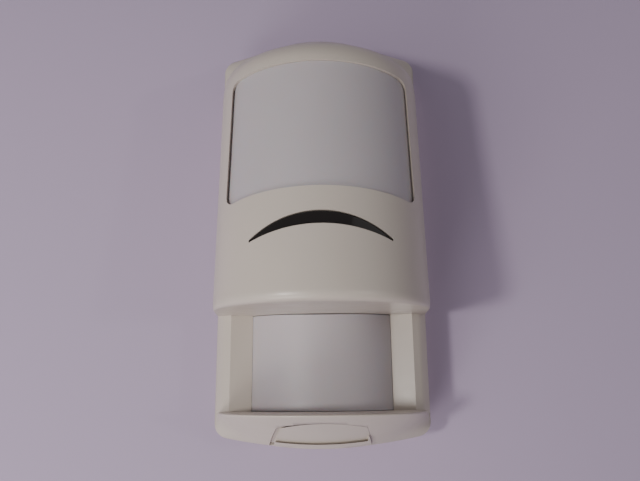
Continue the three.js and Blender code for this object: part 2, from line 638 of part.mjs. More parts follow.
function terminalScrew(index) {
  const x = terminalX(index);
  const z = TERMINALS.bottom + 4.9;
  const top = SEAT + TERMINALS.depth - 1;
  const body = peg(x, z, 1.6, SEAT + 4 + GAP, top, 14);
  return body.subtract(block(x - 2, x + 2, top - 0.8, top + 1, z - 0.3, z + 0.3));
}

function relay() {
  const { left, right, bottom, top, height } = RELAY;
  return slab(roundedRectangle(left, right, bottom, top, 0.8), SEAT, SEAT + height);
}

function chip() {
  const { halfWidth, bottom, top, height } = CHIP;
  const body = slab(roundedRectangle(-halfWidth, halfWidth, bottom, top, 0.6), SEAT, SEAT + height);
  const firstPinMark = peg(-halfWidth + 1.4, top - 1.4, 0.6, SEAT + height - 0.3, SEAT + height + 1, 12);
  return body.subtract(firstPinMark);
}

function capacitor({ x, z, radius, height }) {
  return turned(x, z, [
    [0, SEAT], [radius, SEAT], [radius, SEAT + 1.4], [radius - 0.35, SEAT + 1.8], [radius, SEAT + 2.2],
    [radius, SEAT + height - 0.4], [radius - 0.5, SEAT + height], [0, SEAT + height],
  ], 20);
}

function tamperBody() {
  const { x, z, half, bore, bodyTop } = TAMPER;
  const body = slab(roundedRectangle(x - half, x + half, z - half, z + half, 0.6), SEAT, bodyTop);
  return body.subtract(peg(x, z, bore, SEAT + 1, bodyTop + 1, 18));
}

function tamperPlunger() {
  const { x, z, plunger, plungerTop } = TAMPER;
  const bottom = SEAT + 2.8;
  return turned(x, z, [
    [0, bottom], [plunger, bottom], [plunger, plungerTop - 0.4], [plunger - 0.35, plungerTop], [0, plungerTop],
  ], 18);
}

function dipSlotX(index) {
  return DIP.left + DIP.width / 2 + (index - (DIP.count - 1) / 2) * DIP.pitch;
}

function dipBody() {
  const { left, bottom, width, height, depth } = DIP;
  const body = slab(roundedRectangle(left, left + width, bottom, bottom + height, 0.3), SEAT, SEAT + depth);
  const slots = Array.from({ length: DIP.count }, (_, i) => {
    const x = dipSlotX(i);
    return block(x - 0.85, x + 0.85, SEAT + 1, SEAT + depth + 1, bottom + 1.2, bottom + height - 1.2);
  });
  return cutBy(body, ...slots);
}

function dipSlider(index) {
  const x = dipSlotX(index);
  const z = DIP.bottom + 1.5;
  return block(x - 0.55, x + 0.55, SEAT + 1 + GAP, SEAT + DIP.depth + 0.7, z, z + 1.6);
}

function trimmerBody() {
  const { x, z, half, height, rotorRadius } = TRIMMER;
  const body = slab(roundedRectangle(x - half, x + half, z - half, z + half, 0.6), SEAT, SEAT + height);
  return body.subtract(peg(x, z, rotorRadius + GAP, SEAT + height - 2, SEAT + height + 1, 24));
}

function trimmerRotor() {
  const { x, z, height, rotorRadius } = TRIMMER;
  const top = SEAT + height + GAP;
  const disc = peg(x, z, rotorRadius, top - 2, top, 24);
  const slot = block(x - 2, x + 2, top - 0.8, top + 1, z - 0.4, z + 0.4);
  const pointer = block(x - 0.4, x + 0.4, top - 0.8, top + 1, z, z + 2);
  return cutBy(disc, slot, pointer);
}

function led(x) {
  const { z, flange, radius, height } = LED;
  const top = SEAT + height;
  return turned(x, z, [
    [0, SEAT], [flange, SEAT], [flange, SEAT + 0.8], [radius, SEAT + 0.8],
    [radius, top - 1.6], [radius - 0.4, top - 0.5], [0, top],
  ], 16);
}

// ---------------------------------------------------------------- the assembly
function piece(name, shape, finish) {
  const { vertProperties, triVerts } = shape.getMesh();
  const geometry = new THREE.BufferGeometry();
  geometry.setAttribute('position', new THREE.BufferAttribute(new Float32Array(vertProperties), 3));
  geometry.setIndex(new THREE.BufferAttribute(new Uint32Array(triVerts), 1));
  geometry.computeVertexNormals();
  const mesh = new THREE.Mesh(geometry, new THREE.MeshStandardMaterial(finish));
  mesh.name = name;
  return mesh;
}

function coverAssembly() {
  const group = new THREE.Group();
  group.add(
    piece('front_cover', frontCover(), FINISH.ivory),
    piece('upper_lens', upperLens(), FINISH.lens),
    piece('upper_lens_frame', upperLensFrame(), FINISH.innerPlastic),
    piece('lower_lens', lowerLens(), FINISH.lens),
    piece('lower_lens_frame', lowerLensFrame(), FINISH.innerPlastic),
    piece('indicator_window', indicatorWindow(), FINISH.smoked),
    piece('light_guide', lightGuide(), FINISH.clear),
    piece('locking_latch', lockingLatch(), FINISH.ivory),
    piece('latch_keeper', latchKeeper(), FINISH.innerPlastic),
  );
  return group;
}

function boardAssembly() {
  const group = new THREE.Group();
  group.add(
    piece('main_board', mainBoard(), FINISH.board),
    piece('board_screw_left', boardScrew(POSTS[0]), FINISH.steel),
    piece('board_screw_right', boardScrew(POSTS[1]), FINISH.steel),
    piece('sensor_stand', sensorStand(PYRO.upperZ), FINISH.black),
    piece('upper_pyro_sensor', pyroSensor(PYRO.upperZ, SEAT + STAND.height + GAP), FINISH.steel),
    piece('lower_pyro_sensor', pyroSensor(PYRO.lowerZ, SEAT), FINISH.steel),
    piece('terminal_block', terminalBlock(), FINISH.green),
    piece('alarm_relay', relay(), FINISH.black),
    piece('processor_chip', chip(), FINISH.black),
    piece('supply_capacitor', capacitor(SUPPLY_CAPACITOR), FINISH.black),
    piece('filter_capacitor', capacitor(FILTER_CAPACITOR), FINISH.black),
    piece('tamper_switch_body', tamperBody(), FINISH.black),
    piece('tamper_plunger', tamperPlunger(), FINISH.white),
    piece('dip_switch_body', dipBody(), FINISH.blue),
    piece('range_trimmer_body', trimmerBody(), FINISH.blue),
    piece('range_trimmer_rotor', trimmerRotor(), FINISH.white),
    piece('indicator_led_red', led(-LED.pitch), FINISH.redLed),
    piece('indicator_led_green', led(0), FINISH.greenLed),
    piece('indicator_led_amber', led(LED.pitch), FINISH.amberLed),
  );
  for (let i = 0; i < TERMINALS.count; i += 1) {
    group.add(piece(`terminal_screw_${i + 1}`, terminalScrew(i), FINISH.steel));
  }
  for (let i = 0; i < DIP.count; i += 1) {
    group.add(piece(`dip_slider_${i + 1}`, dipSlider(i), FINISH.white));
  }
  return group;
}

const motionSensor = new THREE.Group();
motionSensor.add(
  piece('rear_base', rearBase(), FINISH.ivory),
  piece('cable_grommet', cableGrommet(), FINISH.rubber),
  boardAssembly(),
  coverAssembly(),
);

export default motionSensor;
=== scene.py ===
"""Wall-mounted motion sensor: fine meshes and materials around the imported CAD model, in metres."""
import json
import math

import bmesh
import bpy
from mathutils import Matrix, Vector


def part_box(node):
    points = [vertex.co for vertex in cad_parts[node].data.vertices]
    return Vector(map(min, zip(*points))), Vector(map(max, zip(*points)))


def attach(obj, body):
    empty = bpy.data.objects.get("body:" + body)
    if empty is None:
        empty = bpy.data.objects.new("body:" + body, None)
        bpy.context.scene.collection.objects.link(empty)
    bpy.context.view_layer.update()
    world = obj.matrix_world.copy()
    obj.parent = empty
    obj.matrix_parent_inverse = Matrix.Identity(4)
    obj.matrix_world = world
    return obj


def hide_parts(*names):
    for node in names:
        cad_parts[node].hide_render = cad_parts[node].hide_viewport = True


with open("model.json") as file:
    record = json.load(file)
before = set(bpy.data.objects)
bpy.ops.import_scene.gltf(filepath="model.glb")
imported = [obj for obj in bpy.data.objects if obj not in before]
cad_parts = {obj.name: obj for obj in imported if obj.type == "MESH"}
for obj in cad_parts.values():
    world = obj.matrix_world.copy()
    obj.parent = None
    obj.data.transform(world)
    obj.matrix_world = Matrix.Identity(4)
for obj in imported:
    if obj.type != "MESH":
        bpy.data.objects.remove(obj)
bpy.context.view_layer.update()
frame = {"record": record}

MM = 0.001

# ------------------------------------------------------------ driving dimensions, mm
BASE_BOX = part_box("rear_base")
HALF_HEIGHT = 69.0
BASE_HALF_WIDTH = BASE_BOX[1][0] / MM
COVER_HALF_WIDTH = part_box("front_cover")[1][0] / MM
BASE_DEPTH = 10.0
PLATE = 2.2
WALL_FACE_HALF_WIDTH = BASE_HALF_WIDTH - BASE_DEPTH
CORNER_RADIUS = 4.0
TOP_BOW = BOTTOM_BOW = 3.0
GAP = 0.3
FIT = 0.14
WALL = 2.2
RIM_DEPTH = BASE_DEPTH + GAP
BULGE_RADIUS = 32.2
LENS_BULGE = 31.4
CHIN_DEPTH, CHIN_Z = 64.0, -31.0
BROW_DEPTH, BROW_Z = 55.6, 46.0
TOP_DEPTH = 19.6
CHIN_RISE, CHIN_RISE_HEIGHT = 0.055, 12.0
SILL_Z = -58.4
LIP_DEPTH = 46.5
TOE_DEPTH = 24.0
CHEEK = [(COVER_HALF_WIDTH, RIM_DEPTH), (33.9, 14), (31.6, 16.8), (28.9, 18.6), (22.5, 16.3), (0, 16.3)]
WINDOW_HALF, WINDOW_BOTTOM, WINDOW_TOP, WINDOW_RADIUS, WINDOW_RISE = 27.4, -0.75, 40.4, 3.0, 1.3
WINDOW_EDGE_DEPTH, DRAFT = 45.2, 0.16
LENS_RADIUS, LENS_AXIS, LENS_THICKNESS, LENS_HALF_ANGLE = 26.0, 2.5, 1.1, 61.0
LENS_TUCK, LENS_REAR = 6.0, 5.0
CRESCENT_HALF, CRESCENT_TIPS, CRESCENT_APEXES = 19.4, (-13.2, -13.9), (-6.5, -10.3)
LATCH_LEFT, LATCH_RIGHT, LATCH_TAPER, LATCH_TOP, LATCH_ARCH, LATCH_TRAVEL = -15.8, 15.2, 4.2, -61.6, 1.2, 1.2
LATCH_FIT = 0.23
LATCH_THICKNESS, LATCH_EDGE, LATCH_EDGE_WIDTH, LATCH_REAR = 2.0, 0.95, 2.8, TOE_DEPTH - 4
POCKET_REAR = TOE_DEPTH - 6
SHELF_SUNK, SHELF_REACH = 1.05, 1.45
RIDGE_SET_IN, RIDGE_TOP, RIDGE_BOW, RIDGE_END_WIDTH, RIDGE_END_TOP = 0.8, -67.6, 0.8, 1.2, -65.4
RIDGE_PROUD, RIDGE_ROUNDING = 0.7, 0.3
HINGE_X = 10.0
BOARD_REAR, BOARD_FRONT = 12.0, 13.6
SEAT = BOARD_FRONT + GAP
POSTS = [(-21, 36), (21, 36), (-21, -54), (21, -54)]
POST_RADIUS, PILOT_RADIUS = 3.2, 1.7
WALL_SCREWS_Z, WALL_SCREW_RADIUS = (59, -46), 2.3
ENTRY_HALF_WIDTH, ENTRY_RISE, ENTRY_Z = 8.0, 4.7, 46.5
UPPER_SENSOR_Z, LOWER_SENSOR_Z, STAND_HEIGHT = 20.5, -45.0, 8.6
TERMINALS, TERMINAL_PITCH, TERMINAL_Z = 8, 5.0, 50.9
TAMPER_X, TAMPER_Z, TAMPER_TIP = 20.2, -23.5, 19.7
TRIMMER_X, TRIMMER_Z = -17.5, -6.0
DIP_SWITCHES, DIP_LEFT, DIP_RIGHT, DIP_PITCH = 4, -23.4, -12.0, 2.54
LED_Z, LED_PITCH = -8.6, 5.5
IN_FRONT = 70.0

# Boxes: left, right, rear depth, front depth, bottom, top
TONGUE = (-1.5, 4, 5.2, 27, -65.6, -63.6)
TONGUE_HOOK = (-4, 4, 3.2, 5.4, -65.6, -63.6)
KEEPER = (-6.5, 7, 12.5, 16.5, -65.9, -61.6)
KEEPER_SLOT = (-4, 4.5, 10.5, 18.5, -66.9, -63.3)
CATCH = (-12, -4.4, 5.8, 8.4, -67.6, -63.2)
TAMPER_RIB = (TAMPER_X - 1.3, TAMPER_X + 1.3, 20, 44, CHIN_Z + WALL, -21.5)


# ------------------------------------------------------------ camera, first of all
def make_camera():
    focal_px = 622.6
    image_width_px = 640
    camera = bpy.data.cameras.new("camera")
    camera.sensor_width = 36.0
    camera.lens = camera.sensor_width * focal_px / image_width_px
    camera.clip_start = 0.01
    holder = bpy.data.objects.new("camera", camera)
    bpy.context.collection.objects.link(holder)
    place = Matrix.Translation((-0.00025, -0.2177, -0.0546))
    pitch = Matrix.Rotation(math.radians(90 + 14.23), 4, "X")
    roll = Matrix.Rotation(math.radians(-0.6), 4, "Z")
    holder.matrix_world = place @ pitch @ roll
    bpy.context.scene.camera = holder


# ------------------------------------------------------------ mesh helpers, in mm as (x, depth, z)
def new_object(name, mesh):
    obj = bpy.data.objects.new(name, mesh)
    bpy.context.collection.objects.link(obj)
    return obj


def mesh_object(name, points, faces):
    mesh = bpy.data.meshes.new(name)
    mesh.from_pydata([(x * MM, -d * MM, z * MM) for x, d, z in points], [], faces)
    bm = bmesh.new()
    bm.from_mesh(mesh)
    bmesh.ops.remove_doubles(bm, verts=bm.verts, dist=1e-6)
    bmesh.ops.recalc_face_normals(bm, faces=bm.faces)
    bm.to_mesh(mesh)
    bm.free()
    return new_object(name, mesh)


def prism(name, outline, place, low, high, levels=1):
    """Carries an outline between two heights; place(u, v, height) gives each point."""
    size = len(outline)
    heights = [low + (high - low) * i / levels for i in range(levels + 1)]
    points = [place(u, v, height) for height in heights for u, v in outline]
    faces = [(k * size + i, k * size + (i + 1) % size, (k + 1) * size + (i + 1) % size, (k + 1) * size + i)
             for k in range(levels) for i in range(size)]
    faces += [tuple(range(size)), tuple(range(levels * size, (levels + 1) * size))]
    return mesh_object(name, points, faces)


def slab(outline, near, far, name="slab"):
    return prism(name, outline, lambda x, z, d: (x, d, z), near, far)


def column(outline, bottom, top, levels=1, name="column"):
    return prism(name, outline, lambda x, d, z: (x, d, z), bottom, top, levels)


def rib(outline, left, right, name="rib"):
    return prism(name, outline, lambda d, z, x: (x, d, z), left, right)


def block(x0, x1, d0, d1, z0, z1, name="block"):
    return slab([(x0, z0), (x1, z0), (x1, z1), (x0, z1)], d0, d1, name)


def circle(x, z, radius, sides=48):
    return [(x + radius * math.cos(2 * math.pi * i / sides), z + radius * math.sin(2 * math.pi * i / sides))
            for i in range(sides)]


def turned(x, z, profile, sides=64, name="turned"):
    """A (radius, depth) profile turned about an axis straight out from the wall."""
    points, faces = [], []
    for radius, depth in profile:
        points += [(px, depth, pz) for px, pz in circle(x, z, max(radius, 1e-4), sides)]
    for level in range(len(profile) - 1):
        for i in range(sides):
            a = level * sides + i
            b = level * sides + (i + 1) % sides
            faces.append((a, b, b + sides, a + sides))
    faces += [tuple(range(sides)), tuple(range(len(points) - sides, len(points)))]
    return mesh_object(name, points, faces)


def rounded(x0, x1, z0, z1, radius, rise=0, steps=8):
    """A rounded rectangle, whose lower side may rise in the middle."""
    points = []
    for cx, cz, start in ((x1 - radius, z0 + radius, -90), (x1 - radius, z1 - radius, 0),
                          (x0 + radius, z1 - radius, 90), (x0 + radius, z0 + radius, 180)):
        for i in range(steps + 1):
            angle = math.radians(start + 90 * i / steps)
            points.append((cx + radius * math.cos(angle), cz + radius * math.sin(angle)))
    if rise:
        points += quadratic(points[-1], ((x0 + x1) / 2, z0 + 2 * rise), points[0], 32)[:-1]
    return points


def quadratic(start, control, end, steps=12):
    """Points of a quadratic curve after its start."""
    out = []
    for i in range(1, steps + 1):
        t = i / steps
        shares = (1 - t) ** 2, 2 * t * (1 - t), t * t
        out.append(tuple(sum(s * v for s, v in zip(shares, values)) for values in zip(start, control, end)))
    return out


def discard(obj):
    mesh = obj.data
    bpy.data.objects.remove(obj)
    bpy.data.meshes.remove(mesh)


def applied(obj):
    """Replaces an object's mesh by the mesh that its modifiers give."""
    graph = bpy.context.evaluated_depsgraph_get()
    mesh = bpy.data.meshes.new_from_object(obj.evaluated_get(graph))
    old = obj.data
    obj.modifiers.clear()
    obj.data = mesh
    bpy.data.meshes.remove(old)
    return obj


def combined(operation, body, tools):
    for tool in tools:
        step = body.modifiers.new("step", "BOOLEAN")
        step.operation = operation
        step.solver = "MANIFOLD"
        step.object = tool
        applied(body)
        discard(tool)
    return body


def cut(body, *tools):
    return combined("DIFFERENCE", body, tools)


def join(body, *tools):
    return combined("UNION", body, tools)


def common(body, *tools):
    return combined("INTERSECT", body, tools)


def softened(obj, width, angle=35, segments=3):
    """Rounds the edges that turn by more than the angle, and smooths the shading."""
    weld = obj.modifiers.new("weld", "WELD")
    weld.merge_threshold = 2e-5
    bevel = obj.modifiers.new("round", "BEVEL")
    bevel.width = width * MM
    bevel.segments = segments
    bevel.limit_method = "ANGLE"
    bevel.angle_limit = math.radians(angle)
    bevel.miter_outer = "MITER_ARC"
    applied(obj)
    obj.data.polygons.foreach_set("use_smooth", [True] * len(obj.data.polygons))
    obj.data.set_sharp_from_angle(angle=math.radians(38))
    weighted = obj.modifiers.new("normals", "WEIGHTED_NORMAL")
    weighted.keep_sharp = True
    return applied(obj)


def dressed(obj, body, slot):
    obj.data.materials.clear()
    obj.data.materials.append(materials[slot])
    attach(obj, body)


def fitted(obj, node, body, slot, rounding=0.12):
    """A fine piece that stands for one CAD node."""
    softened(obj, rounding)
    obj.name = node + "_fine"
    obj.data.name = obj.name
    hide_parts(node)
    dressed(obj, body, slot)


def added(obj, body, slot, rounding):
    """A fine piece that stands for no CAD node."""
    softened(obj, rounding)
    dressed(obj, body, slot)


# ------------------------------------------------------------ the cover's bulging shapes
def clamp(value, low, high):
    return max(low, min(high, value))


def section(front_depth, half_width, rear, inset, steps, bulge):
    """A plan outline: flanks from the rim that run tangent into a round front."""
    radius = bulge - inset
    centre = front_depth - radius
    reach = math.hypot(half_width, rear - centre)
    start = math.atan2(rear - centre, half_width) + math.acos(radius / reach)
    arc = []
    for i in range(steps + 1):
        angle = math.pi - start - i / steps * (math.pi - 2 * start)
        arc.append((radius * math.cos(angle), centre + radius * math.sin(angle)))
    flank_steps, rear_steps = 10, 16
    side, front = arc[0]
    flank = [(-half_width + (side + half_width) * i / flank_steps, rear + (front - rear) * i / flank_steps)
             for i in range(flank_steps)]
    other = [(-x, d) for x, d in reversed(flank)]
    back = [(half_width * (1 - 2 * (i + 1) / rear_steps), rear) for i in range(rear_steps - 1)]
    return flank + arc + other + back


def inset_outline(corners, inset):
    """Moves an open side outline of (depth, z, fillet) corners inwards, to its left."""
    edges = []
    for (d0, z0, _), (d1, z1, _) in zip(corners, corners[1:]):
        length = math.hypot(d1 - d0, z1 - z0)
        along = ((d1 - d0) / length, (z1 - z0) / length)
        edges.append((along, (d0 - along[1] * inset, z0 + along[0] * inset)))
    moved = [(*edges[0][1], 0)]
    for (a, p), (b, q), corner in zip(edges, edges[1:], corners[1:-1]):
        cross = a[0] * b[1] - a[1] * b[0]
        t = ((q[0] - p[0]) * b[1] - (q[1] - p[1]) * b[0]) / cross
        moved.append((p[0] + a[0] * t, p[1] + a[1] * t, max(corner[2] - inset, 0.6)))
    along = edges[-1][0]
    moved.append((corners[-1][0] - along[1] * inset, corners[-1][1] + along[0] * inset, 0))
    return moved


def filleted(corners, steps):
    points = [Vector(corners[0][:2])]
    for before, (d, z, fillet), after in zip(corners, corners[1:-1], corners[2:]):
        corner = Vector((d, z))
        ends = [corner + (Vector(end[:2]) - corner).normalized() * fillet for end in (before, after)]
        points += [ends[0], *(Vector(p) for p in quadratic(ends[0], corner, ends[1], steps))]
    return points + [Vector(corners[-1][:2])]


def subdivided(points, longest):
    out = [points[0]]
    for before, point in zip(points, points[1:]):
        pieces = max(1, math.ceil((point - before).length / longest))
        out += [before.lerp(point, (k + 1) / pieces) for k in range(pieces)]
    return out


def bulged(corners, inset, rear, bow, bulge=BULGE_RADIUS, steps=72):
    profile = subdivided(filleted(inset_outline(corners, inset), 10), 2.5)
    rings = []
    for p in profile:
        outline = section(p.x, cover_half_width(p.y) - inset, rear, inset, steps, bulge)
        rings.append([(x, d, p.y + bow(x, p.y, d)) for x, d in outline])
    size = len(rings[0])
    faces = [(k * size + j, k * size + (j + 1) % size, (k + 1) * size + (j + 1) % size, (k + 1) * size + j)
             for k in range(len(rings) - 1) for j in range(size)]
    points = [p for ring in rings for p in ring]
    for start, ring in ((0, rings[0]), ((len(rings) - 1) * size, rings[-1])):
        middle = len(points)
        points.append((0, (rear + max(p[1] for p in ring)) / 2, bowed_height(ring)))
        faces += [(start + j, start + (j + 1) % size, middle) for j in range(size)]
    return mesh_object("bulge", points, faces)


def bowed_height(ring):
    return sum(p[2] for p in ring if abs(p[0]) < 6) / sum(1 for p in ring if abs(p[0]) < 6)


def cover_half_width(z):
    past = clamp(abs(z) - (HALF_HEIGHT - CORNER_RADIUS), 0, CORNER_RADIUS)
    return COVER_HALF_WIDTH - CORNER_RADIUS + math.sqrt(CORNER_RADIUS ** 2 - past ** 2)


HEAD_OUTLINE = [(CHIN_DEPTH - 8, CHIN_Z, 0), (CHIN_DEPTH, CHIN_Z, 3.2), (BROW_DEPTH, BROW_Z, 6),
                (TOP_DEPTH, HALF_HEIGHT, 3), (TOP_DEPTH - 4, HALF_HEIGHT, 0)]
LIP_OUTLINE = [(TOE_DEPTH - 4, -HALF_HEIGHT, 0), (TOE_DEPTH, -HALF_HEIGHT, 1.2),
               (LIP_DEPTH, SILL_Z - 0.6, 2), (LIP_DEPTH - 5, SILL_Z, 0)]


def head_bow(x, z, depth):
    top_share = clamp((z - BROW_Z) / (HALF_HEIGHT - BROW_Z), 0, 1)
    chin_share = clamp((CHIN_Z + CHIN_RISE_HEIGHT - z) / CHIN_RISE_HEIGHT, 0, 1)
    return CHIN_RISE * (CHIN_DEPTH - depth) * chin_share - TOP_BOW * (x / BASE_HALF_WIDTH) ** 2 * top_share


def bottom_bow(x, z, depth):
    return BOTTOM_BOW * (x / BASE_HALF_WIDTH) ** 2 * clamp((SILL_Z - z) / (SILL_Z + HALF_HEIGHT), 0, 1)


def head(inset, rear=RIM_DEPTH, bulge=BULGE_RADIUS):
    return bulged(HEAD_OUTLINE, inset, rear, head_bow, bulge)


def lip(inset, rear=RIM_DEPTH):
    return bulged(LIP_OUTLINE, inset, rear, bottom_bow)


def cheek_outline(inset, rear):
    corners = inset_outline([(x, d, 0) for x, d in CHEEK], inset)[1:-1]
    right = [(COVER_HALF_WIDTH - inset, rear)] + [(x, d) for x, d, _ in corners]
    return right + [(-x, d) for x, d in reversed(right)]


def crescent(grow, steps=64):
    tip = CRESCENT_HALF + grow
    points = []
    for apex, tip_z, turn in zip(CRESCENT_APEXES, CRESCENT_TIPS, (1, -1)):
        apex += grow * turn
        sagitta = apex - (tip_z + grow / 2 * turn)
        radius = (tip ** 2 + sagitta ** 2) / (2 * sagitta)
        half = math.asin(tip / radius)
        arc = [(radius * math.sin(half * (1 - 2 * i / steps)),
                apex - radius + radius * math.cos(half * (1 - 2 * i / steps))) for i in range(steps + 1)]
        points += arc if turn > 0 else list(reversed(arc))
    return points


def latch_outline(left_gap, right_gap, top_gap):
    left, right, top = LATCH_LEFT - left_gap, LATCH_RIGHT + right_gap, LATCH_TOP + top_gap
    foot, shoulder = -HALF_HEIGHT - 2, top - LATCH_ARCH
    waist = (foot + shoulder) / 2
    points = [(left, foot), (right, foot)]
    points += quadratic(points[-1], (right - LATCH_TAPER * 0.2, waist), (right - LATCH_TAPER * 0.7, shoulder))
    crown = ((left + right) / 2, top + LATCH_ARCH)
    points += quadratic(points[-1], crown, (left + LATCH_TAPER, shoulder), 32)
    points += quadratic(points[-1], (left + LATCH_TAPER * 0.3, waist), (left, foot))
    return points[:-1]


def divided(outline, longest):
    """A closed outline with points added along its long sides."""
    corners = [Vector(p) for p in outline]
    return [tuple(p) for p in subdivided(corners + corners[:1], longest)][:-1]


# ------------------------------------------------------------ cover pieces
def hinge_hook(x):
    inner, outer, half_width = 4.5, 6.2, 3.5
    start_deg, sweep_deg, steps = -140, 90, 16
    angles = [math.radians(start_deg + sweep_deg * i / steps) for i in range(steps + 1)]
    arc = [(RIM_DEPTH + r * math.cos(a), HALF_HEIGHT + r * math.sin(a))
           for r, turn in ((outer, angles), (inner, reversed(angles))) for a in turn]
    shank = block(x - half_width, x + half_width, 13, 16.5, 63.6, HALF_HEIGHT - 1)
    return join(rib(arc, x - half_width, x + half_width), shank)


def window_slab(gap, near):
    """The window's opening, whose sides lean outwards to the front."""
    half = WINDOW_HALF - gap
    outline = rounded(-half, half, WINDOW_BOTTOM + gap, WINDOW_TOP - gap, WINDOW_RADIUS - gap, WINDOW_RISE)

    def leaning(x, z, depth):
        return x * (1 + DRAFT * (depth - WINDOW_EDGE_DEPTH) / WINDOW_HALF), depth, z

    return prism("window", outline, leaning, near, IN_FRONT)


def latch_slab(left_gap, right_gap, top_gap, rear=LATCH_REAR):
    return slab(latch_outline(left_gap, right_gap, top_gap), rear, IN_FRONT)


def latch_shelf(behind):
    """A step of the cover behind the latch's left edge, which makes its slot shallow."""
    pocket = latch_slab(LATCH_TRAVEL + GAP + 0.5, 0.5, 0.5, POCKET_REAR)
    room = latch_slab(-SHELF_REACH, 1.5, 1.5, POCKET_REAR - 1)
    return common(cut(lip(SHELF_SUNK), lip(WALL, behind)), cut(pocket, room))


def front_cover():
    behind = RIM_DEPTH - 2
    shell = cut(head(0), head(WALL, behind))
    shell = join(shell, cut(lip(0), lip(WALL, behind)))
    shell = join(shell, column(divided(cheek_outline(0, RIM_DEPTH), 1.6), SILL_Z - 1, CHIN_Z + 4.5, 20))
    lens_space = column(circle(0, LENS_AXIS, LENS_RADIUS + FIT, 160), SILL_Z, CHIN_Z + 8)
    shell = cut(
        shell,
        column(cheek_outline(WALL, behind), SILL_Z - 4, CHIN_Z + 8),
        cut(lens_space, head(0, behind)),
        window_slab(0, 25),
        slab(crescent(0), 40, IN_FRONT),
        latch_slab(LATCH_TRAVEL + GAP, GAP, GAP, POCKET_REAR),
    )
    return join(shell, latch_shelf(behind), block(*TAMPER_RIB), hinge_hook(-HINGE_X), hinge_hook(HINGE_X))


def upper_lens():
    sunk, flange_front, flange, overlap_x, overlap_z = 0.7, WALL + GAP, 0.8, 0.9, 1.8
    half = WINDOW_HALF + overlap_x
    low, high = WINDOW_BOTTOM - overlap_z, WINDOW_TOP + overlap_z
    border = rounded(-half, half, low, high, WINDOW_RADIUS, WINDOW_RISE)
    raised = common(cut(head(sunk, bulge=LENS_BULGE), head(flange_front + flange)), window_slab(0.06, 35))
    seated = common(cut(head(flange_front), head(flange_front + flange)), slab(border, 33, IN_FRONT))
    return join(raised, seated)


def upper_lens_frame():
    front, thickness, radius = WALL + 2 * GAP + 0.8, 1.4, 3
    border = slab(rounded(-27.2, 27.2, -1.4, 42.4, radius), 33, IN_FRONT)
    view = slab(rounded(-23.5, 23.5, 3.4, 37.8, radius), 20, IN_FRONT + 5)
    return common(cut(head(front), head(front + thickness)), cut(border, view))


def lens_arc(outer, inner, half_angle, bottom, top, steps=96):
    limit = math.radians(half_angle)
    angles = [-limit + 2 * limit * i / steps for i in range(steps + 1)]
    outline = [(r * math.sin(a), LENS_AXIS + r * math.cos(a))
               for r, turn in ((outer, angles), (inner, reversed(angles))) for a in turn]
    return column(outline, bottom, top)


def lower_lens():
    inner = LENS_RADIUS - LENS_THICKNESS
    arc = lens_arc(LENS_RADIUS, inner, LENS_HALF_ANGLE, SILL_Z + FIT, CHIN_Z + LENS_TUCK)
    return cut(arc, head(-FIT, LENS_REAR))


def lower_lens_frame():
    thickness, set_in_deg = 1.3, 5
    front = LENS_RADIUS - LENS_THICKNESS - GAP
    arc = lens_arc(front, front - thickness, LENS_HALF_ANGLE - set_in_deg, SILL_Z + GAP, CHIN_Z + LENS_TUCK)
    view = slab(rounded(-17.5, 17.5, -55.5, -33, 2.5), LENS_REAR, 40)
    return cut(arc, head(-GAP, LENS_REAR), view)


def indicator_window():
    sunk = 0.4
    return common(cut(head(sunk), head(WALL)), slab(crescent(-GAP), 45, IN_FRONT))


def light_guide():
    inlet, neck, spread = (3, 25), (4, 44), (13, 53)
    fan = [(x, depth) for x, depth in (inlet, neck, spread)]
    fan += [(-x, depth) for x, depth in (spread, neck, inlet)]
    return common(column(fan, -9.8, -7.4), head(WALL + GAP))


def ridge_outline():
    left, right = LATCH_LEFT + RIDGE_SET_IN, LATCH_RIGHT - RIDGE_SET_IN
    middle = (left + right) / 2
    points = [(left, -HALF_HEIGHT + RIDGE_BOW)]
    points += quadratic(points[-1], (middle, -HALF_HEIGHT - RIDGE_BOW), (right, -HALF_HEIGHT + RIDGE_BOW), 32)
    points += [(right, RIDGE_END_TOP), (right - RIDGE_END_WIDTH, RIDGE_END_TOP),
               (right - RIDGE_END_WIDTH, RIDGE_TOP + RIDGE_BOW)]
    return points + quadratic(points[-1], (middle, RIDGE_TOP - RIDGE_BOW), (left, RIDGE_TOP + RIDGE_BOW), 32)


def locking_latch():
    overlap = 0.05
    edge = common(cut(lip(0), lip(LATCH_EDGE)), latch_slab(0, LATCH_FIT, LATCH_FIT))
    core = common(cut(lip(LATCH_EDGE - overlap), lip(LATCH_THICKNESS)),
                  latch_slab(-LATCH_EDGE_WIDTH, LATCH_FIT, LATCH_FIT))
    ridge = common(lip(-RIDGE_PROUD), slab(ridge_outline(), TOE_DEPTH - 1, 40), latch_slab(0, 0, 0))
    ridge = softened(cut(ridge, lip(LATCH_EDGE - overlap)), RIDGE_ROUNDING)
    return join(join(edge, core), ridge, block(*TONGUE), block(*TONGUE_HOOK))


def latch_keeper():
    return cut(block(*KEEPER), block(*KEEPER_SLOT))


